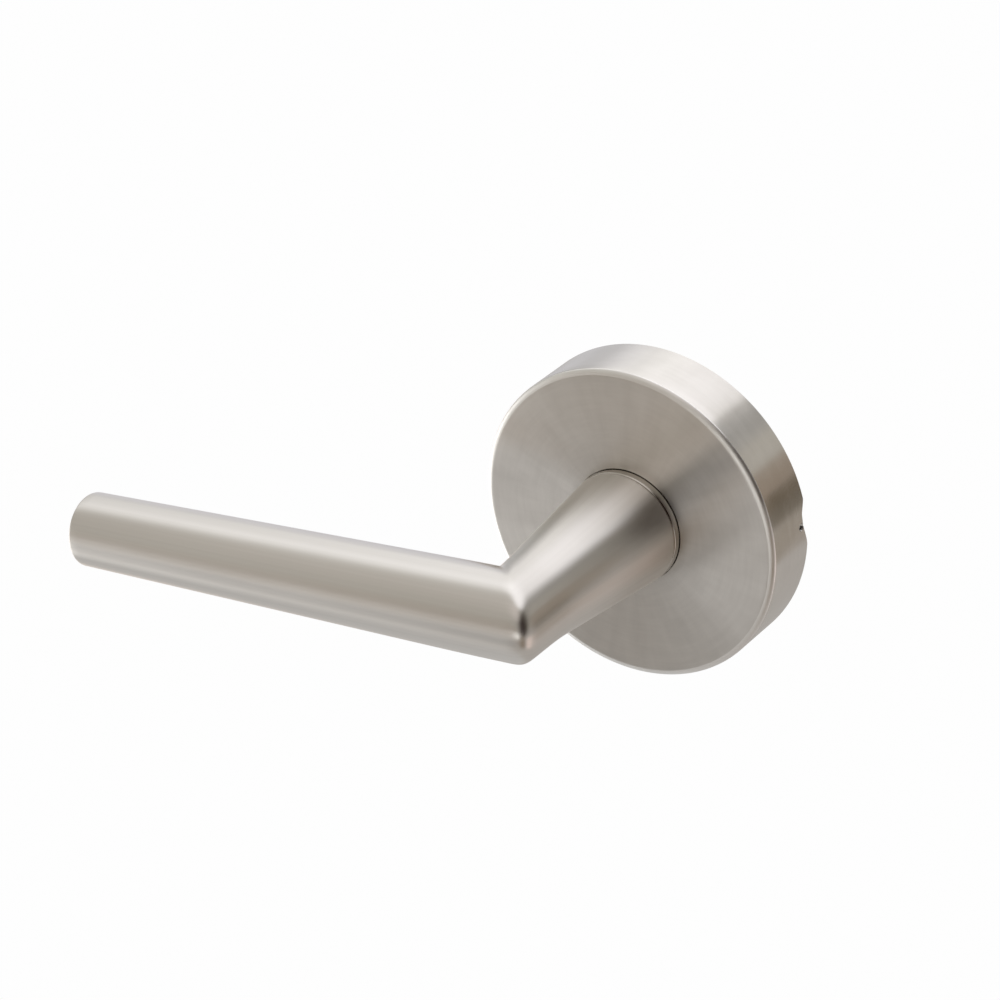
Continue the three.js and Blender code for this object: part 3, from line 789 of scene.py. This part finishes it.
def build_handle():
    along = satin_nickel("satin_lever", lengthwise_space, 0.32, 0.8, contrast=0.8)
    circular = satin_nickel("satin_rose_face", rings_space, 0.32, 0.92, "Y", 0.7)
    # The rolled edge is rougher, and its lighter tint is a painted highlight along the roll.
    edge = bright_nickel("rose_edge_rubbed_painted_highlight", 0.4, (0.82, 0.8, 0.77))
    rim = satin_nickel("satin_rose_rim", rings_space, 0.19, 0.9, "Y", 0.6)
    # The collar's darker tint is painted shade for the gap between the neck and the rose.
    bead = bright_nickel("collar_bright_painted_shade", 0.12, (0.52, 0.49, 0.45))
    zinc, steel, oxide, nylon = plated_steel(), spring_steel(), black_oxide(), black_nylon()

    finish_piece(lever_shell(), "lever", "satin_nickel", along, "lever_neck", "lever_grip")
    finish_piece(end_cap(), "lever", "satin_nickel", bright_nickel("cap_turned", 0.22), "grip_end_cap")
    finish_piece(hub(), "lever", "zinc_plated_steel", zinc, "lever_hub")
    finish_piece(grub_screw(), "lever", "black_oxide_steel", oxide, "grub_screw")
    finish_piece(circlip(), "lever", "spring_steel", steel, "circlip")

    shell = finish_piece(rose_shell(), "rose", "satin_nickel", rim, "rose_cover")
    face_and_edge(shell, circular, edge)
    finish_piece(collar(), "rose", "bright_nickel", bead, "collar_ring")
    finish_piece(bush(), "rose", "black_nylon", nylon, "neck_bush")
    finish_piece(mounting_plate(), "rose", "zinc_plated_steel", zinc, "mounting_plate")
    finish_piece(fixing_screw(-1), "rose", "zinc_plated_steel", zinc, "fixing_screw_left")
    finish_piece(fixing_screw(1), "rose", "zinc_plated_steel", zinc, "fixing_screw_right")
    finish_piece(wave_washer(), "rose", "spring_steel", steel, "wave_washer")

    spring = return_spring()
    spring.data.materials.append(steel)
    smooth(spring)
    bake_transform(spring)
    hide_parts("return_spring")

    for name in ("spring_housing", "housing_rivet_top", "housing_rivet_bottom", "stop_cam", "spindle"):
        dress_node(name, zinc)
    for name in ("rest_stop_pin", "turned_stop_pin", "spring_anchor_pin"):
        dress_node(name, steel, 0.08)
    for name in ("cover_clip_top", "cover_clip_left", "cover_clip_right"):
        dress_node(name, steel)


# ---------------------------------------------------------------- studio


def towards(azimuth, elevation):
    """The direction at an azimuth and an elevation, in degrees."""
    azimuth, elevation = math.radians(azimuth), math.radians(elevation)
    level = math.cos(elevation)
    return Vector((math.sin(azimuth) * level, -math.cos(azimuth) * level, math.sin(elevation)))


def place_camera():
    azimuth, roll = math.radians(CAMERA_AZIMUTH), math.radians(CAMERA_ROLL)
    back = towards(CAMERA_AZIMUTH, CAMERA_ELEVATION)
    level = Vector((math.cos(azimuth), math.sin(azimuth), 0))
    upright = back.cross(level)
    right = math.cos(roll) * level + math.sin(roll) * upright
    up = math.cos(roll) * upright - math.sin(roll) * level
    data = bpy.data.cameras.new("camera")
    data.lens = CAMERA_LENS
    data.sensor_width = 36
    data.clip_start, data.clip_end = 0.05, 20
    camera = bpy.data.objects.new("camera", data)
    bpy.context.scene.collection.objects.link(camera)
    place = (CAMERA_DISTANCE * back + AIM_RIGHT * right + AIM_UP * up) * MM
    turn = Matrix((right, up, back)).transposed().to_4x4()
    camera.matrix_world = Matrix.Translation(place) @ turn
    bpy.context.scene.camera = camera


def card(tree, behind, name, azimuth, elevation, core, reach, colour):
    """Hangs a soft round card in front of what is behind it: full within core degrees and gone at reach."""
    ray = add(tree, "TexCoord").outputs["Generated"]
    place = tuple(towards(azimuth, elevation))
    facing = add(tree, "VectorMath", {"operation": "DOT_PRODUCT"}, _0=ray, _1=place).outputs["Value"]
    edge, full = math.cos(math.radians(reach)), math.cos(math.radians(core))
    soft = {"interpolation_type": "SMOOTHSTEP"}
    share = add(tree, "MapRange", soft, Value=facing, _1=edge, _2=full).outputs[0]
    settings = {"data_type": "RGBA", "name": name}
    return add(tree, "Mix", settings, _0=share, _6=behind, _7=(*colour, 1)).outputs[2]


def surroundings():
    """The room as polished metal sees it: pale walls, softboxes, dark cards and the table top. An azimuth
    runs from straight in front of the handle round to its right. Most of the cards' directions, sizes and
    colours come from separate fitting programs, which compared renders with the reference."""
    world = bpy.data.worlds.new("studio")
    bpy.context.scene.world = world
    world.use_nodes = True
    tree = world.node_tree
    colour = add(tree, "RGB").outputs[0]
    colour.default_value = (0.55, 0.53, 0.49, 1)
    colour = card(tree, colour, "table", 0, -90, 85, 90, (0.5, 0.48, 0.46))
    colour = card(tree, colour, "wall_left", -130, 35, 25, 45, (1.2, 1.2, 1.2))
    colour = card(tree, colour, "softbox_behind", 160, 65, 27, 35, (1.4, 1.4, 1.45))
    colour = card(tree, colour, "dark_corner", 145, 30, 5, 12, (0.4, 0.4, 0.4))
    colour = card(tree, colour, "softbox_front", 5, 55, 15, 30, (0.8, 0.75, 0.72))
    colour = card(tree, colour, "dark_right", 80, 25, 20, 40, (0.04, 0.03, 0.02))
    colour = card(tree, colour, "dark_camera", 50, 15, 15, 40, (0.01, 0, 0))
    colour = card(tree, colour, "dark_front", -25, 0, 8, 22, (0.4, 0.35, 0.3))
    colour = card(tree, colour, "shelf_behind_right", 145, -23, 9, 11, (0.34, 0.3, 0.25))
    colour = card(tree, colour, "brown_behind_right", 135, 0, 9, 13, (0.35, 0.28, 0.22))
    colour = card(tree, colour, "dark_behind_right", 140, -10, 6, 9, (0.12, 0.09, 0.05))
    colour = card(tree, colour, "dark_behind", 160, -10, 8, 12, (0, 0, 0))
    colour = card(tree, colour, "wall_behind_left", -150, 5, 10, 28, (0.8, 0.8, 0.85))
    colour = card(tree, colour, "dark_left", -115, 15, 10, 30, (0.42, 0.42, 0.4))
    colour = card(tree, colour, "paper_below_left", -90, -55, 25, 32, (0.6, 0.6, 0.6))
    colour = card(tree, colour, "paper_left", -80, -20, 18, 27, (2.1, 2.1, 2.1))
    colour = card(tree, colour, "paper_front", 0, -10, 7, 12, (1.9, 1.9, 1.9))
    colour = card(tree, colour, "paper_left_low", -120, -25, 13, 21, (1.5, 1.3, 1.15))
    colour = card(tree, colour, "paper_right_low", 100, -35, 13, 22, (1, 0.85, 0.8))
    colour = card(tree, colour, "dark_low_front", -40, -30, 8, 14, (0.3, 0.3, 0.3))
    colour = card(tree, colour, "dark_low_right", 35, -30, 12, 30, (0.25, 0.2, 0.15))
    seen = add(tree, "LightPath").outputs["Is Camera Ray"]
    colour = add(tree, "Mix", {"data_type": "RGBA"}, _0=seen, _6=colour, _7=PAPER_WHITE).outputs[2]
    tree.links.new(colour, tree.nodes["Background"].inputs["Color"])


def lay_floor():
    """A plain white floor, which the camera sees and the metal doesn't."""
    rings = [[(0, 0, FLOOR_HEIGHT)] * SMALL_ROUND]
    rings += [[(r * x, r * y, FLOOR_HEIGHT) for x, y in circle(SMALL_ROUND)] for r in FLOOR_RADII]
    floor = skin("floor", rings)
    material = bpy.data.materials.new("floor_white")
    material.use_nodes = True
    tree = material.node_tree
    shader = tree.nodes["Principled BSDF"]
    shader.inputs["Base Color"].default_value = (0, 0, 0, 1)
    shader.inputs["Specular IOR Level"].default_value = 0
    shader.inputs["Emission Color"].default_value = PAPER_WHITE
    shader.inputs["Emission Strength"].default_value = 1
    floor.data.materials.append(material)
    floor.visible_glossy = False
    floor.visible_diffuse = False
    floor.visible_shadow = False


def set_colours():
    """Shows light values as they are, so that white paper is white."""
    scene = bpy.context.scene
    scene.view_settings.view_transform = "Standard"
    scene.view_settings.look = "None"


build_handle()
place_camera()
surroundings()
lay_floor()
set_colours()
